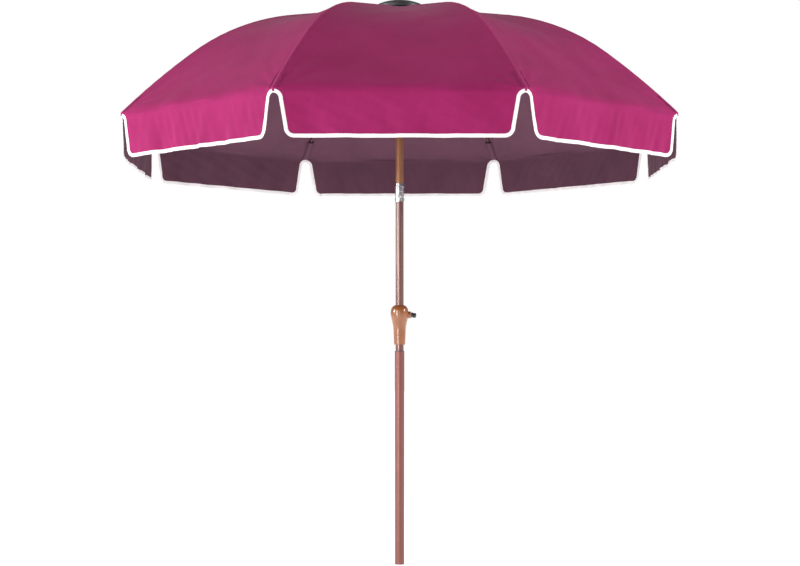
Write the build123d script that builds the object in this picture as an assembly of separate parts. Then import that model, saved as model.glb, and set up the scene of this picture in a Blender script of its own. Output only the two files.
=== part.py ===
"""Patio umbrella: two-part pole, crank lift, push-button tilt and an eight-rib octagonal canopy.

Millimetres, +Z up. The origin is the centre of the pole's foot, the pole's axis is Z, and one flat
canopy panel faces -Y. Ribs stand at 22.5 degrees and every 45 degrees from there.
"""

from build123d import *
from math import asin, cos, radians, sin, sqrt, tan
import os

# --- Pole ---------------------------------------------------------------------------------------
LOWER_POLE_RADIUS = 19.0
LOWER_POLE_LENGTH = 845.5
POLE_RADIUS = 16.0            # middle and upper tubes
POLE_WALL = 1.5
FOOT_PLUG_DEPTH = 25.0
SLEEVE_DEPTH = 100.0          # how far the middle tube plugs into the lower one
SLEEVE_FLANGE = 2.5
SLEEVE_LIP = 3.0
MID_POLE_SHOWN = 599.0        # middle tube between the lower tube and the tilt joint
UPPER_POLE_LENGTH = 702.0
RUNNING_FIT = 0.05            # radial clearance of a pin or shaft that turns
SEAT_GAP = 0.1                # clearance between seated pieces
END_GAP = 0.1                 # gap under a tube end that turns on its seat
PAST = 1.0                    # how far a cutter runs past the surface that it cuts

# --- Tilt joint ---------------------------------------------------------------------------------
KNUCKLE_RADIUS = 18.5
KNUCKLE_LENGTH = 72.0
TILT_PIVOT_HEIGHT = 40.0      # pivot above the bottom of the tilt joint
SPIGOT_LENGTH = 40.0
TONGUE_THICKNESS = 16.0
TONGUE_RADIUS = 23.5
TONGUE_GAP = 0.2              # each side of the tongue
TILT_PIN_RADIUS = 4.0
TILT_PIN_LENGTH = 35.0
TILT_ANGLE = 35.0
LOCK_DISTANCE = 19.0          # lock rod below the pivot
LOCK_RADIUS = 2.0
LOCK_SLOT_GAP = 0.3
BUTTON_RADIUS = 8.5
BUTTON_THICKNESS = 4.8
BUTTON_PROUD = 1.5
BUTTON_TRAVEL = 4.0
BUTTON_ROD_LENGTH = 27.2
BUTTON_ROUND = 1.2
BUTTON_STOP_GAP = 0.5         # left behind the button and its rod when pressed home
FORK_FLOOR_GAP = 2.0          # under the tongue
CUP_GAP = 0.5                 # between the fork's cheeks and the upper cup
TONGUE_INSET = 0.7            # tongue's sides inside the knuckle's outline
SPRING_WIRE = 0.8

# --- Crank --------------------------------------------------------------------------------------
CRANK_HEIGHT = 992.0          # shaft above the foot
HOUSING_BOTTOM = 873.0
HOUSING_TOP = 1031.0
HOUSING_SLEEVE_RADIUS = 22.0
HOUSING_BELLY_RADIUS = 34.5
HOUSING_BELLY_HEIGHT = 985.0
HOUSING_WAIST_RADIUS = 24.0
HOUSING_WAIST_HEIGHT = 925.0
HOUSING_TOP_WALL = 1.0
HOUSING_TOP_SLOPE = 0.25
BOSS_RADIUS = 14.0
BOSS_END = 45.0
SHAFT_RADIUS = 4.0
SHAFT_START = -26.0
SHAFT_END = 54.0
BUSH_WALL = 1.5
BUSH_START = 17.0
BUSH_END = 26.0
BRAKE_RADIUS = 10.0
BRAKE_START = 30.0
BRAKE_END = 42.0
SPOOL_RADIUS = 11.0
SPOOL_GROOVE_RADIUS = 9.0
SPOOL_WIDTH = 18.0
SPOOL_FLANGE = 2.0
SPOOL_WINDOW_GAP = 1.0
ARM_LENGTH = 62.0
ARM_THICKNESS = 7.0
ARM_ROOT_RADIUS = 10.0
ARM_END_RADIUS = 7.0
ARM_INSET = 1.0               # arm back from the shaft's end
KNOB_RADIUS = 9.5
KNOB_LENGTH = 13.0
KNOB_ROUND = 2.5
KNOB_PIN_RADIUS = 2.5
KNOB_PIN_HEAD = 1.5
SCREW_RADIUS = 2.0
SCREW_HEAD_RADIUS = 3.6
SCREW_HEAD_HEIGHT = 2.5
SCREW_REACH = 12.0
SCREW_OFFSET = 22.5
SCREW_HEIGHTS = (952.0, 1007.0)

# --- Canopy shape, on a rib's own line ------------------------------------------------------------
RIB_COUNT = 8
HALF_GORE = 180.0 / RIB_COUNT
CANOPY_TIP_RADIUS = 1140.0
CROWN_RADIUS = 30.0           # open centre of the fabric
FLAT_ANGLE = 8.6              # slope of the straight part by the crown
FLAT_END_RADIUS = 452.0
SHOULDER_RADIUS = 869.0       # arc that turns the slope down
SHOULDER_ANGLE = 38.0
SKIRT_RADIUS = 3031.0         # long arc to the eave
FABRIC = 1.2
FABRIC_GAP = 0.25             # each side of a rib line or a panel's middle
VALANCE_DROP = 173.0
NOTCH_TOP = 17.0              # notch top below the eave
NOTCH_TOP_EDGE = 22.0         # fabric edge from the rib line at the notch top
NOTCH_LOW_EDGE = 39.0         # and above the rounded bottom corner
NOTCH_CORNER = 36.0
NOTCH_ROUND = 0.8             # radius at the notch top, as a share of its half width
NOTCH_BOW = (0.25, 0.3)       # how far along and down that round its middle lies
NOTCH_CUT = 20.0              # depth of the cutter through the valance
EAVE_SEAM = 1.5               # inner fold below the eave, in fabric thicknesses

# --- Ribs, struts, hub and runner -----------------------------------------------------------------
RIB_RADIUS = 4.0
RIB_WALL = 1.0
RIB_DEPTH = 7.8               # rib centre line below the fabric's face
RIB_END_GAP = 12.0            # rib end short of the canopy corner
TIP_RADIUS = 5.5
TIP_LENGTH = 16.0
PIVOT_RADIUS = 42.0           # hub and runner pivots from the pole's axis
EYE_RADIUS = 5.5
EYE_WIDTH = 9.0
PIN_RADIUS = 2.0
PIN_LENGTH = 16.0
BRACKET_DISTANCE = 280.0
BRACKET_DROP = 16.0
BRACKET_LENGTH = 18.0
BRACKET_WIDTH = 15.0
BRACKET_RIM = 1.8
BRACKET_SKIRT = 1.0           # bracket's cheeks below the strut's eye
BRACKET_SIDE_GAP = 0.4
BRACKET_TOP_GAP = 0.8
HUB_STEP = 2.0                # hub pivots above the upper tube's end
EYE_ROOM = 1.0                # notch's floor behind an eye
STRUT_LENGTH = 390.0
STRUT_RADIUS = 3.5
NOTCH_GAP = 0.7               # each side of an eye in the hub or runner
DISC_RADIUS = 52.0
HUB_ABOVE = 4.0
HUB_BELOW = 10.0
HUB_SKIRT_RADIUS = 24.0
HUB_SKIRT = 34.0
POST_RADIUS = 12.0
RUNNER_ABOVE = 12.0
RUNNER_BELOW = 12.0
RUNNER_COLLAR = 12.0
RUNNER_COLLAR_RADIUS = 23.0
RUNNER_FIT = 0.1
HOOK_ANGLE = -62.0            # the strut pin leaves its seat this way, outward and down
HOOK_SEAT = 2.6
HOOK_MOUTH = 6.0
HOOK_REACH = 25.0
CORD_HOLE_RADIUS = 2.5
PULLEY_DROP = 63.0            # pulley below the hub pivots
PULLEY_RADIUS = 10.0
PULLEY_GROOVE = 1.5
PULLEY_WIDTH = 6.0
PULLEY_FLANGE = 1.5
PULLEY_SIDE_GAP = 1.0
PULLEY_END_GAP = 2.0
PULLEY_OFFSET = 8.0
PULLEY_PIN_RADIUS = 1.5

# --- Crown ----------------------------------------------------------------------------------------
CAP_RADIUS = 92.0
CAP_RISE = 37.0               # cap's top above its rim
CAP_DOME_RADIUS = 221.0
CAP_EDGE = 6.0
CAP_WALL = 2.0
CAP_GAP = 0.5
CAP_EDGE_DROP = 1.2           # height of the cap's rounded edge, in shares of its width
CAP_EDGE_BOW = 0.25
CAP_EDGE_LIFT = 1.0
FINIAL_BASE_RADIUS = 17.0
FINIAL_NECK_RADIUS = 8.0
FINIAL_BALL_RADIUS = 15.0
FINIAL_HEIGHT = 46.0
FINIAL_FOOT = 4.0
FINIAL_NECK_SHARE = 1 / 3     # neck's height as a share of the finial's
FINIAL_STEM_RADIUS = 4.9
FINIAL_STEM = 18.0

# --- Heights that follow from the sizes above ------------------------------------------------------
SLEEVE_TOP = LOWER_POLE_LENGTH + SLEEVE_FLANGE
MID_POLE_BOTTOM = LOWER_POLE_LENGTH - SLEEVE_DEPTH
TILT_BOTTOM = SLEEVE_TOP + MID_POLE_SHOWN
TILT_PIVOT = TILT_BOTTOM + TILT_PIVOT_HEIGHT
TILT_TOP = TILT_BOTTOM + KNUCKLE_LENGTH
POLE_TOP = TILT_TOP + UPPER_POLE_LENGTH
HUB_PIVOT_Z = POLE_TOP + HUB_STEP
NOTCH_HALF = EYE_WIDTH / 2 + NOTCH_GAP
RIM_ANGLE = radians(FLAT_ANGLE)


def roof_start():
    """Radius and height of the fabric's outer face at the crown, above the ribs' pivots."""
    rise = (PIVOT_RADIUS - CROWN_RADIUS) * tan(RIM_ANGLE) + RIB_DEPTH / cos(RIM_ANGLE)
    return CROWN_RADIUS, HUB_PIVOT_Z + rise


def roof_line(depth):
    """Six points of the rib-line profile, `depth` under the outer face: crown, end of the straight
    part, middle and end of the shoulder arc, middle and end of the skirt arc, as (radius, height)."""
    start_r, start_z = roof_start()
    flat_z = start_z - (FLAT_END_RADIUS - start_r) * tan(RIM_ANGLE)
    shoulder = radians(SHOULDER_ANGLE)
    c1_r = FLAT_END_RADIUS - SHOULDER_RADIUS * sin(RIM_ANGLE)
    c1_z = flat_z - SHOULDER_RADIUS * cos(RIM_ANGLE)
    c2_r = c1_r + (SHOULDER_RADIUS - SKIRT_RADIUS) * sin(shoulder)
    c2_z = c1_z + (SHOULDER_RADIUS - SKIRT_RADIUS) * cos(shoulder)
    eave = asin((CANOPY_TIP_RADIUS - c2_r) / SKIRT_RADIUS)

    def on_arc(c_r, c_z, radius, angle):
        return c_r + (radius - depth) * sin(angle), c_z + (radius - depth) * cos(angle)

    return (
        (start_r - depth * sin(RIM_ANGLE), start_z - depth * cos(RIM_ANGLE)),
        on_arc(c1_r, c1_z, SHOULDER_RADIUS, RIM_ANGLE),
        on_arc(c1_r, c1_z, SHOULDER_RADIUS, (RIM_ANGLE + shoulder) / 2),
        on_arc(c1_r, c1_z, SHOULDER_RADIUS, shoulder),
        on_arc(c2_r, c2_z, SKIRT_RADIUS, (shoulder + eave) / 2),
        on_arc(c2_r, c2_z, SKIRT_RADIUS, eave),
    )


EAVE_Z = roof_line(0)[-1][1]


def bracket_pivot():
    """Strut pivot under the rib, as (radius, height)."""
    radius = PIVOT_RADIUS + BRACKET_DISTANCE * cos(RIM_ANGLE) - BRACKET_DROP * sin(RIM_ANGLE)
    height = HUB_PIVOT_Z - BRACKET_DISTANCE * sin(RIM_ANGLE) - BRACKET_DROP * cos(RIM_ANGLE)
    return radius, height


def runner_pivot_z():
    """Height of the struts' lower pins with the canopy open."""
    radius, height = bracket_pivot()
    return height - sqrt(STRUT_LENGTH**2 - (radius - PIVOT_RADIUS) ** 2)


# --- Small helpers --------------------------------------------------------------------------------
def rod(radius, start, end):
    """Cylinder between two points."""
    start, end = Vector(*start), Vector(*end)
    axis = end - start
    plane = Plane(origin=start, z_dir=axis.normalized())
    return extrude(plane * Circle(radius), axis.length)


def upright(radius, bottom, top, x=0.0, y=0.0):
    return rod(radius, (x, y, bottom), (x, y, top))


def tube(outer, inner, bottom, top):
    return upright(outer, bottom, top) - upright(inner, bottom - PAST, top + PAST)


def slab(x_range, y_range, z_range):
    """Box from its three ranges."""
    sizes = [high - low for low, high in (x_range, y_range, z_range)]
    middle = [(high + low) / 2 for low, high in (x_range, y_range, z_range)]
    return Pos(*middle) * Box(*sizes)


def side_face(edges):
    """Face in the XZ plane from a closed run of edges."""
    return make_face(edges)


def xz(point):
    """Point (radius, height) in the XZ plane."""
    return point[0], 0.0, point[1]


def spun(shape, index):
    """Shape built on +X, turned to rib `index`."""
    return Rot(0, 0, HALF_GORE + index * 2 * HALF_GORE) * shape


def group(shapes):
    """One shape that holds separate solids."""
    return Compound([solid for shape in shapes for solid in shape.solids()])


# --- Pole and foot --------------------------------------------------------------------------------
def lower_pole():
    inner = LOWER_POLE_RADIUS - POLE_WALL
    return tube(LOWER_POLE_RADIUS, inner, 0, LOWER_POLE_LENGTH)


def foot_plug():
    return upright(LOWER_POLE_RADIUS - POLE_WALL, 0, FOOT_PLUG_DEPTH)


def pole_sleeve():
    """Plastic sleeve in the lower tube that the middle tube plugs into, with a lip to stand on."""
    outer = LOWER_POLE_RADIUS - POLE_WALL
    bore = POLE_RADIUS + RUNNING_FIT
    lip_bore = POLE_RADIUS - POLE_WALL
    body = tube(outer, bore, MID_POLE_BOTTOM - END_GAP, LOWER_POLE_LENGTH)
    lip = tube(outer, lip_bore, MID_POLE_BOTTOM - END_GAP - SLEEVE_LIP, MID_POLE_BOTTOM - END_GAP)
    flange = tube(LOWER_POLE_RADIUS, bore, LOWER_POLE_LENGTH, SLEEVE_TOP)
    return body + lip + flange


def mid_pole():
    """Middle tube, with holes for the crank shaft and a window to fit the spool through."""
    body = tube(POLE_RADIUS, POLE_RADIUS - POLE_WALL, MID_POLE_BOTTOM, TILT_BOTTOM)
    shaft = rod(
        SHAFT_RADIUS + 2 * SEAT_GAP,
        (-2 * POLE_RADIUS, 0, CRANK_HEIGHT),
        (2 * POLE_RADIUS, 0, CRANK_HEIGHT),
    )
    half = SPOOL_WIDTH / 2 + SPOOL_WINDOW_GAP
    tall = SPOOL_RADIUS + SPOOL_WINDOW_GAP
    window = slab((-half, half), (0, 2 * POLE_RADIUS), (CRANK_HEIGHT - tall, CRANK_HEIGHT + tall))
    return body - shaft - window


def upper_pole():
    """Upper tube, with the slot that the cord pulley turns in."""
    body = tube(POLE_RADIUS, POLE_RADIUS - POLE_WALL, TILT_TOP, POLE_TOP)
    z = HUB_PIVOT_Z - PULLEY_DROP
    tall = PULLEY_RADIUS + PULLEY_END_GAP
    wide = PULLEY_WIDTH / 2 + PULLEY_SIDE_GAP
    slot = slab((0, 2 * POLE_RADIUS), (-wide, wide), (z - tall, z + tall))
    reach = 2 * POLE_RADIUS
    pin = rod(PULLEY_PIN_RADIUS, (PULLEY_OFFSET, -reach, z), (PULLEY_OFFSET, reach, z))
    return body - slot - pin


# --- Tilt joint -----------------------------------------------------------------------------------
def along_y(radius, start, end, x=0.0, z=TILT_PIVOT):
    return rod(radius, (x, start, z), (x, end, z))


def tilt_lower_knuckle():
    """Fork with round-topped cheeks, a spigot down into the middle tube, and the button's pocket."""
    barrel = upright(KNUCKLE_RADIUS, TILT_BOTTOM, TILT_PIVOT)
    cheeks = upright(KNUCKLE_RADIUS, TILT_PIVOT, TILT_PIVOT + KNUCKLE_RADIUS)
    cheeks &= along_y(KNUCKLE_RADIUS, -KNUCKLE_RADIUS, KNUCKLE_RADIUS)
    spigot_radius = POLE_RADIUS - POLE_WALL - SEAT_GAP
    spigot = upright(spigot_radius, TILT_BOTTOM - SPIGOT_LENGTH, TILT_BOTTOM)
    half = TONGUE_THICKNESS / 2 + TONGUE_GAP
    wide = 2 * KNUCKLE_RADIUS
    floor = TILT_PIVOT - TONGUE_RADIUS - FORK_FLOOR_GAP
    gap = slab((-wide, wide), (-half, half), (floor, TILT_PIVOT + wide))
    pivot = along_y(TILT_PIN_RADIUS, -wide, wide)
    lock_z = TILT_PIVOT - LOCK_DISTANCE
    pocket_floor = button_back() + BUTTON_TRAVEL + BUTTON_STOP_GAP
    pocket = along_y(BUTTON_RADIUS + SEAT_GAP, -wide, pocket_floor, z=lock_z)
    rod_end = pocket_floor + BUTTON_ROD_LENGTH
    rod_hole = along_y(LOCK_RADIUS + RUNNING_FIT, -wide, rod_end, z=lock_z)
    return barrel + cheeks + spigot - gap - pivot - pocket - rod_hole


def tilt_upper_knuckle():
    """Cup over the fork with a tongue between its cheeks, slotted for the lock rod."""
    half = TONGUE_THICKNESS / 2
    base = TILT_PIVOT + KNUCKLE_RADIUS + CUP_GAP
    tongue = along_y(TONGUE_RADIUS, -half, half)
    tongue &= upright(KNUCKLE_RADIUS - TONGUE_INSET, TILT_BOTTOM, TILT_TOP)
    neck = slab((-TONGUE_RADIUS / 2, TONGUE_RADIUS / 2), (-half, half), (TILT_PIVOT, base + PAST))
    barrel = upright(KNUCKLE_RADIUS, base, TILT_TOP)
    spigot = upright(POLE_RADIUS - POLE_WALL - SEAT_GAP, TILT_TOP, TILT_TOP + SPIGOT_LENGTH)
    below = slab(
        (-KNUCKLE_RADIUS, KNUCKLE_RADIUS), (-half, half), (TILT_BOTTOM, TILT_PIVOT + TILT_PIN_RADIUS)
    )
    pivot = along_y(TILT_PIN_RADIUS + RUNNING_FIT, -half - PAST, half + PAST)
    return (tongue & below) + neck + barrel + spigot + tongue - pivot - lock_slot(half)


def lock_slot(half):
    """Slot round the pivot that lets the tongue turn past the lock rod."""
    width = LOCK_RADIUS + LOCK_SLOT_GAP
    inner, outer = LOCK_DISTANCE - width, LOCK_DISTANCE + width
    deep = half + PAST
    ring = along_y(outer, -deep, deep) - along_y(inner, -deep - PAST, deep + PAST)
    turn = radians(TILT_ANGLE)
    far = 3 * outer
    wedge_points = [
        (0, TILT_PIVOT),
        (0, TILT_PIVOT - far),
        (-far * sin(turn), TILT_PIVOT - far * cos(turn)),
    ]
    outline = Polyline(*[xz(p) for p in wedge_points], close=True)
    wedge = extrude(side_face(outline), deep, both=True)
    end_x = -LOCK_DISTANCE * sin(turn)
    end_z = TILT_PIVOT - LOCK_DISTANCE * cos(turn)
    first = along_y(width, -deep, deep, z=TILT_PIVOT - LOCK_DISTANCE)
    last = along_y(width, -deep, deep, x=end_x, z=end_z)
    return (ring & wedge) + first + last


def tilt_pin():
    return along_y(TILT_PIN_RADIUS, -TILT_PIN_LENGTH / 2, TILT_PIN_LENGTH / 2)


def button_back():
    """Y of the back of the button's head at rest."""
    return -KNUCKLE_RADIUS - BUTTON_PROUD + BUTTON_THICKNESS


def tilt_button():
    """Push button with the lock rod behind it."""
    lock_z = TILT_PIVOT - LOCK_DISTANCE
    back = button_back()
    head = along_y(BUTTON_RADIUS, back - BUTTON_THICKNESS, back, z=lock_z)
    head = fillet(head.edges().group_by(Axis.Y)[0], BUTTON_ROUND)
    return head + along_y(LOCK_RADIUS, back, back + BUTTON_ROD_LENGTH, z=lock_z)


def button_spring():
    """Return spring behind the button's head, drawn as one coil stack."""
    lock_z = TILT_PIVOT - LOCK_DISTANCE
    start = button_back() + SEAT_GAP
    end = button_back() + BUTTON_TRAVEL + BUTTON_STOP_GAP - SEAT_GAP
    outer = LOCK_RADIUS + 2 * SPRING_WIRE + SEAT_GAP
    inner = LOCK_RADIUS + SPRING_WIRE + SEAT_GAP
    hollow = along_y(inner, start - PAST, end + PAST, z=lock_z)
    return along_y(outer, start, end, z=lock_z) - hollow


# --- Crank ----------------------------------------------------------------------------------------
def along_x(radius, start, end, y=0.0, z=CRANK_HEIGHT):
    return rod(radius, (start, y, z), (end, y, z))


def crank_housing():
    """Whole pear-shaped housing before it is split: sleeve, belly, boss and the hollows inside."""
    bore = POLE_RADIUS + SEAT_GAP
    corners = [(bore, HOUSING_BOTTOM), (HOUSING_SLEEVE_RADIUS, HOUSING_BOTTOM)]
    waist = (HOUSING_WAIST_RADIUS, HOUSING_WAIST_HEIGHT)
    belly = (HOUSING_BELLY_RADIUS, HOUSING_BELLY_HEIGHT)
    top = (bore + HOUSING_TOP_WALL, HOUSING_TOP)
    rise = (HOUSING_WAIST_RADIUS - HOUSING_SLEEVE_RADIUS, HOUSING_WAIST_HEIGHT - HOUSING_BOTTOM)
    edges = [
        Line(xz(corners[0]), xz(corners[1])),
        Line(xz(corners[1]), xz(waist)),
        Spline(xz(waist), xz(belly), xz(top), tangents=(xz(rise), (-1, 0, HOUSING_TOP_SLOPE))),
        Line(xz(top), xz((bore, HOUSING_TOP))),
        Line(xz((bore, HOUSING_TOP)), xz(corners[0])),
    ]
    body = revolve(side_face(edges), Axis.Z)
    boss = along_x(BOSS_RADIUS, POLE_RADIUS + BUSH_WALL, BOSS_END)
    boss -= upright(bore, HOUSING_BOTTOM, HOUSING_TOP)
    shaft = along_x(SHAFT_RADIUS + 2 * SEAT_GAP, SHAFT_START - PAST, SHAFT_END)
    bush_radius = SHAFT_RADIUS + BUSH_WALL
    bushes = along_x(bush_radius, -BUSH_END, BUSH_END)
    brake = along_x(BRAKE_RADIUS, BRAKE_START, BRAKE_END)
    return body + boss - shaft - bushes - brake


def housing_screw(x, z):
    shank = rod(SCREW_RADIUS, (x, -SCREW_REACH, z), (x, SCREW_REACH, z))
    head = rod(SCREW_HEAD_RADIUS, (x, SCREW_REACH, z), (x, SCREW_REACH + SCREW_HEAD_HEIGHT, z))
    return shank + head


def screw_places():
    return [(x, z) for z in SCREW_HEIGHTS for x in (-SCREW_OFFSET, SCREW_OFFSET)]


def housing_half(side):
    """Front half for side -1, rear half for +1. The screw heads sit in the rear half."""
    reach = 2 * BOSS_END
    y_range = (0, reach) if side > 0 else (-reach, 0)
    half = crank_housing() & slab((-reach, reach), y_range, (HOUSING_BOTTOM, HOUSING_TOP))
    for x, z in screw_places():
        half -= housing_screw(x, z)
        half -= rod(SCREW_HEAD_RADIUS, (x, SCREW_REACH, z), (x, reach, z))
    return half


def housing_screws():
    return group(housing_screw(x, z) for x, z in screw_places())


def shaft_bushes():
    outer, inner = SHAFT_RADIUS + BUSH_WALL, SHAFT_RADIUS + RUNNING_FIT
    pair = [(-BUSH_END, -BUSH_START), (BUSH_START, BUSH_END)]
    return group(along_x(outer, a, b) - along_x(inner, a - PAST, b + PAST) for a, b in pair)


def brake_drum():
    """Fixed ring in the boss that the wrap-spring brake grips."""
    ring = along_x(BRAKE_RADIUS, BRAKE_START, BRAKE_END)
    return ring - along_x(BRAKE_RADIUS - BUSH_WALL, BRAKE_START - PAST, BRAKE_END + PAST)


def brake_spring():
    """Wrap spring on the shaft, inside the drum, drawn as one close-wound sleeve."""
    outer = BRAKE_RADIUS - BUSH_WALL - 2 * SEAT_GAP
    sleeve = along_x(outer, BRAKE_START + PAST, BRAKE_END - PAST)
    return sleeve - along_x(SHAFT_RADIUS, BRAKE_START, BRAKE_END)


def crank_shaft():
    return along_x(SHAFT_RADIUS, SHAFT_START, SHAFT_END)


def cord_spool():
    """Spool inside the middle tube."""
    half = SPOOL_WIDTH / 2
    body = along_x(SPOOL_RADIUS, -half, half)
    groove = along_x(SPOOL_RADIUS + PAST, -half + SPOOL_FLANGE, half - SPOOL_FLANGE)
    groove -= along_x(SPOOL_GROOVE_RADIUS, -half, half)
    return body - groove - along_x(SHAFT_RADIUS, -half - PAST, half + PAST)


def crank_arm():
    """Arm on the shaft's end, pointing back."""
    start = SHAFT_END - ARM_THICKNESS - ARM_INSET
    root = along_x(ARM_ROOT_RADIUS, start, SHAFT_END)
    end = along_x(ARM_END_RADIUS, start, start + ARM_THICKNESS, y=ARM_LENGTH)
    outline = Polyline(
        (start, 0, CRANK_HEIGHT - ARM_ROOT_RADIUS),
        (start, ARM_LENGTH, CRANK_HEIGHT - ARM_END_RADIUS),
        (start, ARM_LENGTH, CRANK_HEIGHT + ARM_END_RADIUS),
        (start, 0, CRANK_HEIGHT + ARM_ROOT_RADIUS),
        close=True,
    )
    web = extrude(make_face(outline), ARM_THICKNESS, dir=(1, 0, 0))
    bore = along_x(SHAFT_RADIUS, start - PAST, SHAFT_END + PAST)
    pin = along_x(KNOB_PIN_RADIUS, start - PAST, SHAFT_END + PAST, y=ARM_LENGTH)
    return root + end + web - bore - pin


def knob_start():
    return SHAFT_END - ARM_INSET + SEAT_GAP


def knob_pin():
    """Rivet that the knob turns on."""
    start = SHAFT_END - ARM_THICKNESS - ARM_INSET
    end = knob_start() + KNOB_LENGTH + SEAT_GAP
    shank = along_x(KNOB_PIN_RADIUS, start, end, y=ARM_LENGTH)
    return shank + along_x(2 * KNOB_PIN_RADIUS, end, end + KNOB_PIN_HEAD, y=ARM_LENGTH)


def crank_knob():
    start = knob_start()
    knob = along_x(KNOB_RADIUS, start, start + KNOB_LENGTH, y=ARM_LENGTH)
    knob = fillet(knob.edges(), KNOB_ROUND)
    end = start + KNOB_LENGTH
    bore = along_x(KNOB_PIN_RADIUS + RUNNING_FIT, start - PAST, end + PAST, y=ARM_LENGTH)
    return knob - bore


# --- Hub and runner -------------------------------------------------------------------------------
def radial_notches(bottom, top):
    """Eight notches for the rib or strut eyes, open outward, above and below."""
    inner = PIVOT_RADIUS - EYE_RADIUS - EYE_ROOM
    notch = slab((inner, 2 * DISC_RADIUS), (-NOTCH_HALF, NOTCH_HALF), (bottom - PAST, top + PAST))
    return [spun(notch, i) for i in range(RIB_COUNT)]


def hub_pin(index):
    return spun(cross_pin(PIVOT_RADIUS, HUB_PIVOT_Z), index)


def hub():
    """Notched disc on the upper tube's end, with a skirt and the post that carries the cap."""
    top = HUB_PIVOT_Z + HUB_ABOVE
    bottom = HUB_PIVOT_Z - HUB_BELOW
    disc = upright(DISC_RADIUS, bottom, top)
    for notch in radial_notches(bottom, top):
        disc -= notch
    for index in range(RIB_COUNT):
        disc -= hub_pin(index)
    skirt = upright(HUB_SKIRT_RADIUS, HUB_PIVOT_Z - HUB_SKIRT, bottom)
    post = upright(POST_RADIUS, top, cap_underside())
    bore = upright(POLE_RADIUS + SEAT_GAP, HUB_PIVOT_Z - HUB_SKIRT - PAST, POLE_TOP)
    stem = upright(FINIAL_STEM_RADIUS + SEAT_GAP, finial_bottom() - PAST, cap_underside() + PAST)
    return disc + skirt + post - bore - stem


def hub_pins():
    return group(hub_pin(i) for i in range(RIB_COUNT))


def runner():
    """Sliding crown: collar on the upper tube and eight open hooks for the strut pins."""
    z = runner_pivot_z()
    bottom, top = z - RUNNER_BELOW, z + RUNNER_ABOVE
    body = upright(DISC_RADIUS, bottom, top)
    for notch in radial_notches(bottom, top):
        body -= notch
    hook = hook_slot(z)
    for index in range(RIB_COUNT):
        body -= spun(hook, index)
    body += upright(RUNNER_COLLAR_RADIUS, bottom - RUNNER_COLLAR, top)
    low = bottom - RUNNER_COLLAR - PAST
    cord_x = (POLE_RADIUS + PIVOT_RADIUS) / 2
    cord = upright(CORD_HOLE_RADIUS, bottom - PAST, top + PAST, x=cord_x)
    return body - upright(POLE_RADIUS + RUNNER_FIT, low, top + PAST) - cord


def hook_slot(z):
    """Seat of a strut pin and the widening way out of it."""
    depth = PIN_LENGTH / 2 + NOTCH_GAP
    way = radians(HOOK_ANGLE)
    along = (cos(way), sin(way))
    across = (-sin(way), cos(way))

    def place(distance, offset):
        r = PIVOT_RADIUS + along[0] * distance + across[0] * offset
        return r, 0.0, z + along[1] * distance + across[1] * offset

    outline = Polyline(
        place(0, HOOK_SEAT),
        place(HOOK_REACH, HOOK_MOUTH),
        place(HOOK_REACH, -HOOK_MOUTH),
        place(0, -HOOK_SEAT),
        close=True,
    )
    mouth = extrude(make_face(outline), depth, both=True)
    return mouth + rod(HOOK_SEAT, (PIVOT_RADIUS, -depth, z), (PIVOT_RADIUS, depth, z))


def cord_pulley():
    """Pulley near the top of the upper tube, where the cord would come out."""
    z = HUB_PIVOT_Z - PULLEY_DROP
    half = PULLEY_WIDTH / 2
    wheel = along_y(PULLEY_RADIUS, -half, half, x=PULLEY_OFFSET, z=z)
    rim = half - PULLEY_FLANGE
    groove = along_y(PULLEY_RADIUS + PAST, -rim, rim, x=PULLEY_OFFSET, z=z)
    groove -= along_y(PULLEY_RADIUS - PULLEY_GROOVE, -half, half, x=PULLEY_OFFSET, z=z)
    bore_radius = PULLEY_PIN_RADIUS + RUNNING_FIT
    bore = along_y(bore_radius, -half - PAST, half + PAST, x=PULLEY_OFFSET, z=z)
    return wheel - groove - bore


def pulley_pin():
    z = HUB_PIVOT_Z - PULLEY_DROP
    half = sqrt(POLE_RADIUS**2 - (PULLEY_OFFSET + PULLEY_PIN_RADIUS) ** 2)
    return along_y(PULLEY_PIN_RADIUS, -half, half, x=PULLEY_OFFSET, z=z)


# --- Crown ----------------------------------------------------------------------------------------
def cap_rim():
    """Height of the cap's rim, just above the fabric."""
    start_r, start_z = roof_start()
    return start_z - (CAP_RADIUS - CAP_WALL - start_r) * tan(RIM_ANGLE) + CAP_GAP


def cap_underside():
    return cap_rim() + CAP_RISE - CAP_WALL


def finial_bottom():
    return cap_underside() + CAP_WALL - FINIAL_STEM


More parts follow.
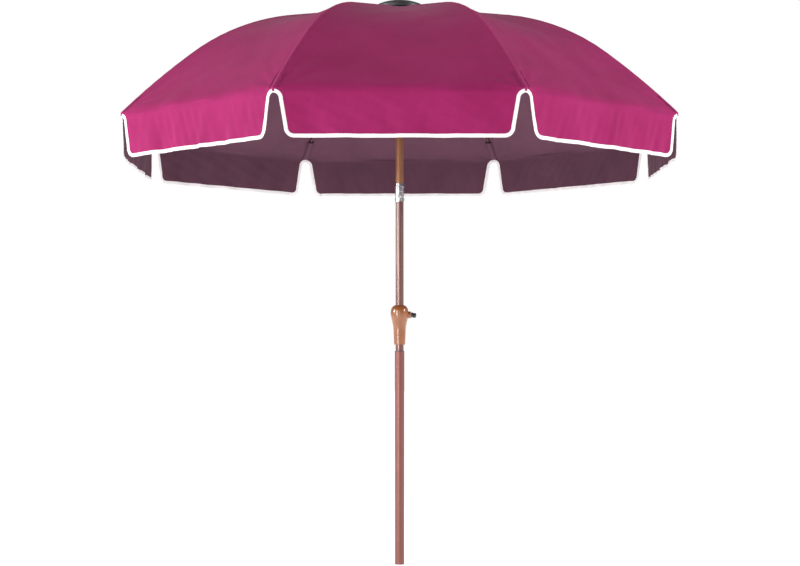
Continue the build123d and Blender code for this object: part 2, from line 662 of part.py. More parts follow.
def crown_cap():
    """Shallow domed cap with a rounded edge, hollow underneath."""
    rim, top = cap_rim(), cap_rim() + CAP_RISE
    outer_r = CAP_RADIUS - CAP_EDGE
    drop = CAP_DOME_RADIUS - sqrt(CAP_DOME_RADIUS**2 - outer_r**2)
    shoulder = top - drop
    middle_r = outer_r / 2
    middle = top - (CAP_DOME_RADIUS - sqrt(CAP_DOME_RADIUS**2 - middle_r**2))
    bore = FINIAL_STEM_RADIUS + SEAT_GAP
    edge_z = shoulder - CAP_EDGE * CAP_EDGE_DROP
    edges = [
        Line((bore, 0, top), (bore, 0, top - CAP_WALL)),
        Line((bore, 0, top - CAP_WALL), (POST_RADIUS, 0, top - CAP_WALL)),
        ThreePointArc(
            (POST_RADIUS, 0, top - CAP_WALL),
            (middle_r, 0, middle - CAP_WALL),
            (outer_r - CAP_WALL, 0, shoulder - CAP_WALL),
        ),
        Line((outer_r - CAP_WALL, 0, shoulder - CAP_WALL), (CAP_RADIUS - CAP_WALL, 0, edge_z)),
        Line((CAP_RADIUS - CAP_WALL, 0, edge_z), (CAP_RADIUS - CAP_WALL, 0, rim)),
        Line((CAP_RADIUS - CAP_WALL, 0, rim), (CAP_RADIUS, 0, rim)),
        Line((CAP_RADIUS, 0, rim), (CAP_RADIUS, 0, edge_z)),
        ThreePointArc(
            (CAP_RADIUS, 0, edge_z),
            (CAP_RADIUS - CAP_EDGE * CAP_EDGE_BOW, 0, (edge_z + shoulder) / 2 + CAP_EDGE_LIFT),
            (outer_r, 0, shoulder),
        ),
        ThreePointArc((outer_r, 0, shoulder), (middle_r, 0, middle), (bore, 0, top)),
    ]
    return revolve(side_face(edges), Axis.Z)


def finial():
    """Turned knob on a stem that screws into the hub's post and holds the cap down."""
    base = cap_rim() + CAP_RISE + SEAT_GAP
    ball_z = base + FINIAL_HEIGHT - FINIAL_BALL_RADIUS
    neck_z = base + FINIAL_HEIGHT * FINIAL_NECK_SHARE
    edges = [
        Line((0, 0, base), (FINIAL_BASE_RADIUS, 0, base)),
        Line((FINIAL_BASE_RADIUS, 0, base), (FINIAL_BASE_RADIUS, 0, base + FINIAL_FOOT)),
        Spline(
            (FINIAL_BASE_RADIUS, 0, base + FINIAL_FOOT),
            (FINIAL_NECK_RADIUS, 0, neck_z),
            (FINIAL_BALL_RADIUS, 0, ball_z),
            (0, 0, base + FINIAL_HEIGHT),
            tangents=((-1, 0, 0.3), (-1, 0, 0)),
        ),
        Line((0, 0, base + FINIAL_HEIGHT), (0, 0, base)),
    ]
    knob = revolve(side_face(edges), Axis.Z)
    return knob + upright(FINIAL_STEM_RADIUS, finial_bottom(), base)


# --- Ribs and struts ------------------------------------------------------------------------------
def rib_path():
    """Rib centre line from its hub pin to short of the canopy's corner."""
    _, flat, shoulder_mid, shoulder_end, skirt_mid, skirt_end = roof_line(RIB_DEPTH)
    pivot = (PIVOT_RADIUS, HUB_PIVOT_Z)
    skirt = ThreePointArc(xz(shoulder_end), xz(skirt_mid), xz(skirt_end))
    skirt = skirt.trim(0, 1 - RIB_END_GAP / skirt.length)
    shoulder = ThreePointArc(xz(flat), xz(shoulder_mid), xz(shoulder_end))
    return Line(xz(pivot), xz(flat)) + shoulder + skirt


def eye(radius, height):
    """Flat eye for a pin across the rib's plane."""
    half = EYE_WIDTH / 2
    return rod(EYE_RADIUS, (radius, -half, height), (radius, half, height))


def cross_pin(radius, height, pin_radius=PIN_RADIUS, length=PIN_LENGTH):
    return rod(pin_radius, (radius, -length / 2, height), (radius, length / 2, height))


def rib_bracket():
    """Forked bracket that hangs under the rib, built level and then tilted onto it."""
    low = -BRACKET_DROP - EYE_RADIUS - BRACKET_SKIRT
    half_l, half_w = BRACKET_LENGTH / 2, BRACKET_WIDTH / 2
    body = slab((-half_l, half_l), (-half_w, half_w), (low, RIB_RADIUS + BRACKET_RIM))
    slot_half = EYE_WIDTH / 2 + BRACKET_SIDE_GAP
    slot_top = -BRACKET_DROP + EYE_RADIUS + BRACKET_TOP_GAP
    reach = half_l + PAST
    body -= slab((-reach, reach), (-slot_half, slot_half), (low - PAST, slot_top))
    body -= rod(RIB_RADIUS, (-BRACKET_LENGTH, 0, 0), (BRACKET_LENGTH, 0, 0))
    body -= cross_pin(0, -BRACKET_DROP, length=BRACKET_WIDTH + 2 * PAST)
    out = PIVOT_RADIUS + BRACKET_DISTANCE * cos(RIM_ANGLE)
    height = HUB_PIVOT_Z - BRACKET_DISTANCE * sin(RIM_ANGLE)
    return Pos(out, 0, height) * Rot(0, FLAT_ANGLE, 0) * body


def rib_tip(path):
    """Plastic cap over the rib's end, which sits in the canopy's corner pocket."""
    end, way = path @ 1, path % 1
    start = end - way * (TIP_LENGTH - TIP_RADIUS)
    cap = rod(TIP_RADIUS, tuple(start), tuple(end)) + Pos(end) * Sphere(TIP_RADIUS)
    return cap


def rib(index):
    """One rib: rod with its hub eye, strut bracket, bracket pin and end cap."""
    path = rib_path()
    start = Plane(origin=path @ 0, z_dir=path % 0)
    section = start * (Circle(RIB_RADIUS) - Circle(RIB_RADIUS - RIB_WALL))
    bar = sweep(section, path=path) + eye(PIVOT_RADIUS, HUB_PIVOT_Z)
    bar -= cross_pin(PIVOT_RADIUS, HUB_PIVOT_Z, PIN_RADIUS + RUNNING_FIT)
    pin_r, pin_z = bracket_pivot()
    pin = cross_pin(pin_r, pin_z, length=BRACKET_WIDTH)
    tip = rib_tip(path) - bar
    return spun(group([bar, rib_bracket(), pin, tip]), index)


def strut(index):
    """One strut: rod with an eye at each end, and the pin that hooks into the runner."""
    top_r, top_z = bracket_pivot()
    low_z = runner_pivot_z()
    bar = rod(STRUT_RADIUS, (PIVOT_RADIUS, 0, low_z), (top_r, 0, top_z))
    bar = bar + eye(PIVOT_RADIUS, low_z) + eye(top_r, top_z)
    bar -= cross_pin(top_r, top_z, PIN_RADIUS + RUNNING_FIT)
    low_pin = cross_pin(PIVOT_RADIUS, low_z)
    return spun(group([bar - low_pin, low_pin]), index)


# --- Canopy ---------------------------------------------------------------------------------------
def gore_section():
    """Section of a flat-sided gore through its middle: roof and valance, one fabric thickness."""
    shrink = cos(radians(HALF_GORE))
    outer = [(r * shrink, z) for r, z in roof_line(0)]
    inner = [(r * shrink, z) for r, z in roof_line(FABRIC)]
    wall = outer[-1][0]
    hem = EAVE_Z - VALANCE_DROP
    return side_face(
        [
            Line(xz(outer[0]), xz(outer[1])),
            ThreePointArc(xz(outer[1]), xz(outer[2]), xz(outer[3])),
            ThreePointArc(xz(outer[3]), xz(outer[4]), xz(outer[5])),
            Line(xz(outer[5]), (wall, 0, hem)),
            Line((wall, 0, hem), (wall - FABRIC, 0, hem)),
            Line((wall - FABRIC, 0, hem), (wall - FABRIC, 0, EAVE_Z - EAVE_SEAM * FABRIC)),
            Line((wall - FABRIC, 0, EAVE_Z - EAVE_SEAM * FABRIC), xz(inner[5])),
            ThreePointArc(xz(inner[5]), xz(inner[4]), xz(inner[3])),
            ThreePointArc(xz(inner[3]), xz(inner[2]), xz(inner[1])),
            Line(xz(inner[1]), xz(inner[0])),
            Line(xz(inner[0]), xz(outer[0])),
        ]
    )


def valance_notch():
    """Cutter for the round-cornered notch between two panels' valances, at the rib line."""
    rib_y = CANOPY_TIP_RADIUS * sin(radians(HALF_GORE))
    hem = EAVE_Z - VALANCE_DROP
    top = EAVE_Z - NOTCH_TOP
    beyond = rib_y + NOTCH_TOP_EDGE
    low_y = rib_y - NOTCH_LOW_EDGE
    corner_z = hem + NOTCH_CORNER
    centre_y = low_y - NOTCH_CORNER
    middle = NOTCH_CORNER / sqrt(2)
    x = CANOPY_TIP_RADIUS * cos(radians(HALF_GORE)) - NOTCH_CUT / 2
    round_top = NOTCH_TOP_EDGE * NOTCH_ROUND
    bow_y, bow_z = (share * round_top for share in NOTCH_BOW)
    below = hem - PAST
    edges = [
        Line((x, beyond, top), (x, rib_y - NOTCH_TOP_EDGE + round_top, top)),
        ThreePointArc(
            (x, rib_y - NOTCH_TOP_EDGE + round_top, top),
            (x, rib_y - NOTCH_TOP_EDGE + bow_y, top - bow_z),
            (x, rib_y - NOTCH_TOP_EDGE, top - round_top),
        ),
        Line((x, rib_y - NOTCH_TOP_EDGE, top - round_top), (x, low_y, corner_z)),
        ThreePointArc(
            (x, low_y, corner_z), (x, centre_y + middle, corner_z - middle), (x, centre_y, hem)
        ),
        Line((x, centre_y, hem), (x, centre_y, below)),
        Line((x, centre_y, below), (x, beyond, below)),
        Line((x, beyond, below), (x, beyond, top)),
    ]
    return extrude(make_face(edges), NOTCH_CUT, dir=(1, 0, 0))


def half_gore(index, side):
    """Half of a canopy panel with its half of the valance, on one side of rib `index`.

    Side +1 lies on the rib's anticlockwise side. It is built as the left or right half of a gore
    whose middle is on +X, then turned to its rib.
    """
    slope = tan(radians(HALF_GORE))
    far = 1.2 * CANOPY_TIP_RADIUS
    edge_gap = FABRIC_GAP / cos(radians(HALF_GORE))
    near = (FABRIC_GAP + edge_gap) / slope
    corners = [(near, FABRIC_GAP), (far, FABRIC_GAP), (far, far * slope - edge_gap)]
    hem = EAVE_Z - VALANCE_DROP
    outline = Polyline(*[(x, y, hem - 10) for x, y in corners], close=True)
    wedge = extrude(make_face(outline), roof_start()[1] - hem + 20, dir=(0, 0, 1))
    sheet = extrude(gore_section(), far * slope, dir=(0, 1, 0))
    half = (sheet & wedge) - valance_notch()
    if side > 0:
        half = mirror(half, Plane.XZ)
    return Rot(0, 0, HALF_GORE + index * 2 * HALF_GORE + side * HALF_GORE) * half


# --- All nodes ------------------------------------------------------------------------------------
SINGLE_NODES = {
    "lower_pole": lower_pole,
    "foot_plug": foot_plug,
    "pole_sleeve": pole_sleeve,
    "mid_pole": mid_pole,
    "upper_pole": upper_pole,
    "tilt_lower_knuckle": tilt_lower_knuckle,
    "tilt_upper_knuckle": tilt_upper_knuckle,
    "tilt_pin": tilt_pin,
    "tilt_button": tilt_button,
    "button_spring": button_spring,
    "crank_housing_front": lambda: housing_half(-1),
    "crank_housing_rear": lambda: housing_half(1),
    "housing_screws": housing_screws,
    "shaft_bushes": shaft_bushes,
    "brake_drum": brake_drum,
    "brake_spring": brake_spring,
    "crank_shaft": crank_shaft,
    "cord_spool": cord_spool,
    "crank_arm": crank_arm,
    "knob_pin": knob_pin,
    "crank_knob": crank_knob,
    "hub": hub,
    "hub_pins": hub_pins,
    "runner": runner,
    "cord_pulley": cord_pulley,
    "pulley_pin": pulley_pin,
    "crown_cap": crown_cap,
    "finial": finial,
}


def main():
    os.makedirs("parts", exist_ok=True)
    for name, make in SINGLE_NODES.items():
        export_step(make(), f"parts/{name}.step")
    for index in range(RIB_COUNT):
        number = index + 1
        export_step(rib(index), f"parts/rib_{number}.step")
        export_step(strut(index), f"parts/strut_{number}.step")
        export_step(half_gore(index, -1), f"parts/canopy_{number}_right.step")
        export_step(half_gore(index, 1), f"parts/canopy_{number}_left.step")


if __name__ == "__main__":
    main()
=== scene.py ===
"""Patio umbrella: cloth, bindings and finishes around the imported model. Metres, +Z up.

The pole stands on the origin, a flat canopy panel faces -Y and the crank is on +X.
"""

import math

import bmesh
import bpy
import numpy as np
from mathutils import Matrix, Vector


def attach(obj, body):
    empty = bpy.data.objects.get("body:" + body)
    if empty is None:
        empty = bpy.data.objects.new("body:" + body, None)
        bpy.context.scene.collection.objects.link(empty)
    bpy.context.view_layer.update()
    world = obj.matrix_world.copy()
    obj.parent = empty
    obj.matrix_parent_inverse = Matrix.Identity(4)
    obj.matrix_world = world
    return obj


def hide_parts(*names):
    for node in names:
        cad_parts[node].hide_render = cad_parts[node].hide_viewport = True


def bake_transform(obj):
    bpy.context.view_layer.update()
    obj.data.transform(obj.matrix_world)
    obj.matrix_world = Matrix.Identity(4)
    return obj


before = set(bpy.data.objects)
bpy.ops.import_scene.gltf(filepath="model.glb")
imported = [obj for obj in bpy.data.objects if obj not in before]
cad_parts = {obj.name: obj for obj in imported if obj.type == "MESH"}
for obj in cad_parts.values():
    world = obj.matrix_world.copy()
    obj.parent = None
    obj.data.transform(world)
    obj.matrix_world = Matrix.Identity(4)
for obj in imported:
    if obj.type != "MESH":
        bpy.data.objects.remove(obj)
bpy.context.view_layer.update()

# --- Canopy sizes, as in the CAD model -------------------------------------------------------------
RIB_COUNT = 8
HALF_GORE = math.pi / RIB_COUNT
TIP_R = 1.140
CROWN_R = 0.030
CROWN_Z = 2.2327035
FLAT_SLOPE = math.radians(8.6)
FLAT_END_R = 0.452
SHOULDER_RADIUS = 0.869
SHOULDER_ANGLE = math.radians(38.0)
SKIRT_RADIUS = 3.031
FABRIC = 0.0012
VALANCE = 0.173
NOTCH_TOP = 0.017
NOTCH_HALF = 0.022
NOTCH_LOW_HALF = 0.039
CORNER = 0.036

# --- Sizes of the sewn details ---------------------------------------------------------------------
BINDING_WIDTH = 0.0125
BINDING_THICK = 0.0024
BINDING_BEYOND = 0.0008
BINDING_ACROSS = (-BINDING_BEYOND, -BINDING_BEYOND * 0.6, 0.002, 0.006, 0.0105, BINDING_WIDTH)
BINDING_LIFT = (0.0, 0.8, 1.0, 1.0, 1.0, 0.75)    # shares of the tape's half thickness
BINDING_EAVE_GAP = 0.0015
SEAM_HALF = 0.006
SEAM_HEIGHT = 0.0016
SEAM_START = CROWN_R + 0.035                      # under the crown cap
SEAM_FLANK = 0.0012                               # heights between the middle and the edge
SEAM_SHOULDER = 0.0009
SEAM_EDGE = -0.0005
SEAM_DEPTH = 0.0022
SEAM_WOBBLE = 0.0002
SEAM_TAPER_R = 0.12                               # narrower nearer the crown than this
SEAM_ROWS = 150
SEAM_SEED = 200
POCKET_LENGTH = 0.075
POCKET_HALF = 0.016
POCKET_SHORT = 0.003                              # ends this far inside the eave
POCKET_DEPTH = 0.0145
POCKET_NARROWING = 0.35
POCKET_GAP = 0.0016
POCKET_CLOTH = 0.0011
POCKET_SIDE_SLOPE = math.tan(0.17)
POCKET_ROWS = 14
POCKET_COLUMNS = 11
POCKET_UV_HALF = 0.02

# --- Shape of the stretched cloth ------------------------------------------------------------------
SAG = 0.021                      # roof's hollow between two ribs
SAG_SHIFT = 1.15                 # moves the deepest point outward
BROAD_WAVE = 0.0028
SOFT_WAVE = 0.0011
PUCKER = 0.0007                  # along a seam
PUCKER_REACH = 0.03
PULL = 0.0022                    # fan of tension lines from a canopy corner
PULL_REACH = 0.16
PULL_FOLDS = 11
PULL_STRETCH = 1.25
DROP_WIDE = 0.0048               # valance folds at the hem
DROP_MID = 0.0023
DROP_FINE = 0.0010
DROP_EARLY = 0.35                # share of the folds' depth that grows evenly down the valance
DROP_AT_RIB = 0.35               # share of the folds' depth left beside a notch
FOLD_LENGTH = 0.022              # each leg of the soft fold at the eave
RIB_STEP = 0.003                 # for slopes of the rib line
CLOTH_STEP = 0.002               # for slopes of the cloth

ROOF_ROWS = 128
ROOF_CROWDING = 0.92             # under 1, rows lie closer together near the eave
COLUMNS = 46
HEM_COLUMNS = 46
CURVE_STEPS = 400                # for lengths and areas along the profile
PANEL_SEED = 41
UP = np.array([0.0, 0.0, 1.0])


# --- Rib-line profile ------------------------------------------------------------------------------
def profile_centres():
    """Centres of the shoulder arc and the skirt arc, as (radius, height)."""
    flat_z = CROWN_Z - (FLAT_END_R - CROWN_R) * math.tan(FLAT_SLOPE)
    c1 = (
        FLAT_END_R - SHOULDER_RADIUS * math.sin(FLAT_SLOPE),
        flat_z - SHOULDER_RADIUS * math.cos(FLAT_SLOPE),
    )
    step = SHOULDER_RADIUS - SKIRT_RADIUS
    c2 = (c1[0] + step * math.sin(SHOULDER_ANGLE), c1[1] + step * math.cos(SHOULDER_ANGLE))
    return c1, c2


C1, C2 = profile_centres()
SHOULDER_END_R = C1[0] + SHOULDER_RADIUS * math.sin(SHOULDER_ANGLE)


def roof_z(r):
    """Height of the fabric's outer face on a rib, at radius r."""
    r = np.asarray(r, float)
    flat = CROWN_Z - (r - CROWN_R) * math.tan(FLAT_SLOPE)
    shoulder = C1[1] + np.sqrt(np.maximum(SHOULDER_RADIUS**2 - (r - C1[0]) ** 2, 0))
    skirt = C2[1] + np.sqrt(np.maximum(SKIRT_RADIUS**2 - (r - C2[0]) ** 2, 0))
    return np.where(r < FLAT_END_R, flat, np.where(r < SHOULDER_END_R, shoulder, skirt))


def rib_lean(r):
    """Angle of the rib line below level, at radius r."""
    ahead = min(r + RIB_STEP, TIP_R)
    return math.atan(float((roof_z(r - RIB_STEP) - roof_z(ahead)) / (ahead - r + RIB_STEP)))


def rib_axes(rib):
    """Outward and sideways unit vectors of a rib."""
    azimuth = HALF_GORE * (2 * rib + 1)
    outward = np.array([math.cos(azimuth), math.sin(azimuth), 0.0])
    return outward, np.array([-math.sin(azimuth), math.cos(azimuth), 0.0])


# --- Small tools -----------------------------------------------------------------------------------
def smooth(a, b, x):
    """0 below a, 1 above b, and an S-curve between them."""
    t = np.clip((np.asarray(x, float) - a) / (b - a), 0, 1)
    return t * t * (3 - 2 * t)


def ripples(rng, wave, spread, count, lean=0.0):
    """Sum of seeded plane waves of about one wavelength. lean 0 lets them run every way."""
    angle = rng.uniform(-math.pi, math.pi, count) if lean == 0 else rng.normal(0, lean, count)
    k = 2 * math.pi / (wave * rng.uniform(1 - spread, 1 + spread, count))
    phase = rng.uniform(0, 2 * math.pi, count)
    kx, ky = k * np.cos(angle), k * np.sin(angle)

    def value(x, y):
        total = np.zeros(np.broadcast(x, y).shape)
        for a, b, c in zip(kx, ky, phase):
            total = total + np.sin(a * x + b * y + c)
        return total / math.sqrt(count)

    return value


def mesh_object(name, verts, faces, materials, uvs, sharp_angle=40.0):
    """Smooth-shaded object with a UV layer in metres."""
    mesh = bpy.data.meshes.new(name)
    mesh.from_pydata([tuple(v) for v in verts], [], faces)
    mesh.update()
    layer = mesh.uv_layers.new(name="cloth")
    index = np.zeros(len(mesh.loops), np.int32)
    mesh.loops.foreach_get("vertex_index", index)
    layer.data.foreach_set("uv", np.asarray(uvs, np.float32)[index].ravel())
    for material in materials:
        mesh.materials.append(material)
    mesh.shade_smooth()
    mesh.set_sharp_from_angle(angle=math.radians(sharp_angle))
    obj = bpy.data.objects.new(name, mesh)
    bpy.context.scene.collection.objects.link(obj)
    return obj


def grid_normals(p):
    """Unit normals of a grid of points, shape (rows, columns, 3)."""
    du = np.gradient(p, axis=1)
    dv = np.gradient(p, axis=0)
    n = np.cross(du, dv)
    return n / np.maximum(np.linalg.norm(n, axis=2, keepdims=True), 1e-12)


def shell(outer, inner, uv):
    """Closed thin shell from two grids of the same shape: vertices, faces, uvs, inner face numbers."""
    rows, cols = outer.shape[:2]
    verts = np.concatenate([outer.reshape(-1, 3), inner.reshape(-1, 3)])
    uvs = np.concatenate([uv.reshape(-1, 2), uv.reshape(-1, 2)])
    base = rows * cols
    faces, inside = [], set()
    for i in range(rows - 1):
        for j in range(cols - 1):
            a = i * cols + j
            faces.append((a, a + 1, a + cols + 1, a + cols))
            inside.add(len(faces))
            faces.append((base + a, base + a + cols, base + a + cols + 1, base + a + 1))
    rim = list(range(cols))
    rim += [i * cols + cols - 1 for i in range(1, rows)]
    rim += [(rows - 1) * cols + j for j in range(cols - 2, -1, -1)]
    rim += [i * cols for i in range(rows - 2, 0, -1)]
    for a, b in zip(rim, rim[1:] + rim[:1]):
        faces.append((b, a, base + a, base + b))
    return verts, faces, uvs, inside


def band(sections, uvs):
    """Closed tube from a row of cross-sections, each a ring of points, capped at both ends."""
    count, ring = len(sections), len(sections[0])
    verts = [p for s in sections for p in s]
    flat_uv = [q for s in uvs for q in s]
    faces = []
    for i in range(count - 1):
        for j in range(ring):
            k = (j + 1) % ring
            faces.append((i * ring + j, i * ring + k, (i + 1) * ring + k, (i + 1) * ring + j))
    faces.append(tuple(range(ring - 1, -1, -1)))
    faces.append(tuple((count - 1) * ring + j for j in range(ring)))
    return verts, faces, flat_uv


def fix_normals(obj):
    """Turns every face outward."""
    bm = bmesh.new()
    bm.from_mesh(obj.data)
    bmesh.ops.recalc_face_normals(bm, faces=bm.faces)
    bm.to_mesh(obj.data)
    bm.free()
    obj.data.update()
    return obj


# --- Materials -------------------------------------------------------------------------------------
def node(tree, kind, **values):
    n = tree.nodes.new(kind)
    for key, value in values.items():
        setattr(n, key, value)
    return n


def set_inputs(n, **values):
    for key, value in values.items():
        n.inputs[key.replace("_", " ")].default_value = value


def math_node(tree, op, a, b=None):
    n = node(tree, "ShaderNodeMath", operation=op)
    for i, x in enumerate((a, b)):
        if x is None:
            continue
        if isinstance(x, (int, float)):
            n.inputs[i].default_value = x
        else:
            tree.links.new(x, n.inputs[i])
    return n.outputs[0]


def mix_colour(tree, factor, a, b):
    n = node(tree, "ShaderNodeMix", data_type="RGBA")
    for i, x in ((0, factor), (6, a), (7, b)):
        if hasattr(x, "is_linked"):
            tree.links.new(x, n.inputs[i])
        elif isinstance(x, (int, float)):
            n.inputs[i].default_value = x
        else:
            n.inputs[i].default_value = (*x, 1.0)
    return n.outputs[2]


def noise(tree, vector, scale, detail=2.0, rough=0.5):
    n = node(tree, "ShaderNodeTexNoise")
    set_inputs(n, Scale=scale, Detail=detail, Roughness=rough)
    tree.links.new(vector, n.inputs["Vector"])
    return n.outputs["Fac"]


def remap(tree, value, low, high, to_low, to_high):
    n = node(tree, "ShaderNodeMapRange")
    for i, x in enumerate((low, high, to_low, to_high)):
        n.inputs[i + 1].default_value = x
    tree.links.new(value, n.inputs[0])
    return n.outputs[0]


def bump(tree, height, strength, distance, normal=None):
    n = node(tree, "ShaderNodeBump")
    n.inputs["Strength"].default_value = strength
    n.inputs["Distance"].default_value = distance
    tree.links.new(height, n.inputs["Height"])
    if normal is not None:
        tree.links.new(normal, n.inputs["Normal"])
    return n.outputs[0]


def start_material(name):
    m = bpy.data.materials.new(name)
    m.use_nodes = True
    tree = m.node_tree
    shader = tree.nodes["Principled BSDF"]
    where = node(tree, "ShaderNodeTexCoord").outputs["Object"]
    return m, tree, shader, where


def cloth_material(name, base, light, dark, sheen=0.07, pitch=0.0013):
    """Plain-weave cloth: threads in both directions, slubs and a soft uneven dye."""
    m, tree, shader, where = start_material(name)
    uv = node(tree, "ShaderNodeUVMap", uv_map="cloth").outputs[0]
    split = node(tree, "ShaderNodeSeparateXYZ")
    tree.links.new(uv, split.inputs[0])
    turn = 2 * math.pi / pitch
    warp = math_node(tree, "SINE", math_node(tree, "MULTIPLY", split.outputs[0], turn))
    weft = math_node(tree, "SINE", math_node(tree, "MULTIPLY", split.outputs[1], turn))
    weave = math_node(tree, "MULTIPLY", warp, weft)
    slub = node(tree, "ShaderNodeMapping")
    slub.inputs["Scale"].default_value = (1.0, 14.0, 1.0)
    tree.links.new(uv, slub.inputs[0])
    threads = noise(tree, slub.outputs[0], 55.0, 3.0)
    dye = noise(tree, where, 4.0, 4.0, 0.6)
    faded = mix_colour(tree, remap(tree, dye, 0.3, 0.7, 0.0, 1.0), dark, light)
    streaked = mix_colour(tree, remap(tree, threads, 0.35, 0.7, 0.0, 0.55), faded, base)
    grain = mix_colour(tree, remap(tree, weave, -1.0, 1.0, 0.0, 0.22), streaked, dark)
    tree.links.new(grain, shader.inputs["Base Color"])
    rough = remap(tree, threads, 0.3, 0.7, 0.68, 0.86)
    tree.links.new(rough, shader.inputs["Roughness"])
    set_inputs(shader, Sheen_Weight=sheen, Sheen_Roughness=0.45, Specular_IOR_Level=0.1)
    crease = noise(tree, where, 26.0, 3.0, 0.55)
    fine = bump(tree, weave, 0.18, 0.0003)
    tree.links.new(bump(tree, crease, 0.35, 0.004, fine), shader.inputs["Normal"])
    return m


def painted_metal(name, base, light, metallic, rough, coat):
    """Satin enamel on steel tube: faint drawn lines, uneven gloss and small scuffs."""
    m, tree, shader, where = start_material(name)
    stretch = node(tree, "ShaderNodeMapping")
    stretch.inputs["Scale"].default_value = (60.0, 60.0, 1.2)
    tree.links.new(where, stretch.inputs[0])
    drawn = noise(tree, stretch.outputs[0], 6.0, 4.0, 0.6)
    cloud = noise(tree, where, 9.0, 4.0, 0.6)
    shade = mix_colour(tree, remap(tree, cloud, 0.3, 0.7, 0.0, 1.0), base, light)
    scuff = noise(tree, where, 160.0, 5.0, 0.7)
    dull = tuple(0.6 * c for c in base)
    worn = mix_colour(tree, remap(tree, scuff, 0.66, 0.8, 0.0, 0.35), shade, dull)
    tree.links.new(worn, shader.inputs["Base Color"])
    satin = remap(tree, drawn, 0.2, 0.8, rough - 0.05, rough + 0.07)
    shine = math_node(tree, "ADD", satin, remap(tree, scuff, 0.6, 0.8, 0.0, 0.12))
    tree.links.new(shine, shader.inputs["Roughness"])
    set_inputs(shader, Metallic=metallic, Coat_Weight=coat, Coat_Roughness=0.18)
    peel = bump(tree, noise(tree, where, 420.0, 2.0), 0.06, 0.0004)
    tree.links.new(bump(tree, drawn, 0.05, 0.0006, peel), shader.inputs["Normal"])
    return m


def bare_metal(name, base, rough, brushed):
    """Plated metal: fine turned lines, smears of uneven roughness."""
    m, tree, shader, where = start_material(name)
    lines = node(tree, "ShaderNodeMapping")
    lines.inputs["Scale"].default_value = (1.0, 1.0, 70.0)
    tree.links.new(where, lines.inputs[0])
    turned = noise(tree, lines.outputs[0], 18.0, 3.0, 0.6)
    smear = noise(tree, where, 45.0, 4.0, 0.65)
    dull = tuple(0.86 * c for c in base)
    tint = mix_colour(tree, remap(tree, smear, 0.3, 0.7, 0.0, 1.0), base, dull)
    tree.links.new(tint, shader.inputs["Base Color"])
    tree.links.new(remap(tree, smear, 0.3, 0.75, rough, rough + 0.1), shader.inputs["Roughness"])
    set_inputs(shader, Metallic=1.0)
    tree.links.new(bump(tree, turned, brushed, 0.0002), shader.inputs["Normal"])
    return m


def moulded_plastic(name, base, light, rough, grain=0.15, coat=0.0):
    """Moulded plastic: fine spark-eroded grain, slight flow marks and rubbed patches."""
    m, tree, shader, where = start_material(name)
    flow = noise(tree, where, 14.0, 3.0, 0.5)
    shade = mix_colour(tree, remap(tree, flow, 0.3, 0.7, 0.0, 1.0), base, light)
    tree.links.new(shade, shader.inputs["Base Color"])
    rub = noise(tree, where, 70.0, 4.0, 0.6)
    gloss = remap(tree, rub, 0.3, 0.7, rough - 0.05, rough + 0.08)
    tree.links.new(gloss, shader.inputs["Roughness"])
    set_inputs(shader, Coat_Weight=coat, Coat_Roughness=0.12)
    pits = noise(tree, where, 900.0, 2.0)
    tree.links.new(bump(tree, pits, grain, 0.0003), shader.inputs["Normal"])
    return m


def linear(r, g, b):
    """Scene-linear colour from display values 0-255."""
    def one(c):
        c = c / 255.0
        return c / 12.92 if c <= 0.04045 else ((c + 0.055) / 1.055) ** 2.4

    return one(r), one(g), one(b)


FABRIC_OUT = cloth_material(
    "canopy_cloth", base=linear(160, 35, 98), light=linear(169, 40, 105), dark=linear(148, 29, 88)
)
# Inner face of the cloth: a darker, greyer copy of the outer cloth colour, painted shade for the underside
# of the canopy.
FABRIC_IN_PAINTED_SHADE = cloth_material(
    "canopy_cloth_back_painted_shade", base=linear(98, 62, 78), light=linear(104, 67, 83), dark=linear(89, 57, 72),
    sheen=0.05,
)
SEAM = cloth_material(
    "seam_cloth", base=linear(166, 44, 104), light=linear(174, 50, 111), dark=linear(154, 36, 94), sheen=0.1
)
TAPE = cloth_material(
    "binding_tape", base=linear(246, 243, 242), light=linear(250, 249, 248), dark=linear(228, 222, 222),
    sheen=0.1, pitch=0.0011,
)
TAPE_GLOW = 0.12                 # keeps the white binding white in the canopy's shade
tape_shader = TAPE.node_tree.nodes["Principled BSDF"]
set_inputs(tape_shader, Emission_Color=(1.0, 1.0, 1.0, 1.0), Emission_Strength=TAPE_GLOW)
BRONZE = painted_metal(
    "bronze_enamel", linear(110, 68, 62), linear(118, 75, 69), metallic=0.2, rough=0.28, coat=1.0
)
BRONZE_LOW = painted_metal(
    "bronze_enamel_lower", linear(126, 72, 65), linear(134, 79, 72), metallic=0.3, rough=0.42, coat=0.2
)
# Upper pole and finial: a lighter, tan copy of the pole's bronze enamel, painted light standing in for the
# light the upper pole lacks under the canopy.
BRONZE_UPPER_PAINTED_LIGHT = painted_metal(
    "bronze_enamel_upper_painted_light", linear(154, 106, 74), linear(164, 115, 82), metallic=0.65, rough=0.42, coat=0.6
)
RIB_PAINT = painted_metal(
    "rib_enamel", linear(184, 169, 160), linear(192, 178, 169), metallic=0.5, rough=0.38, coat=0.2
)
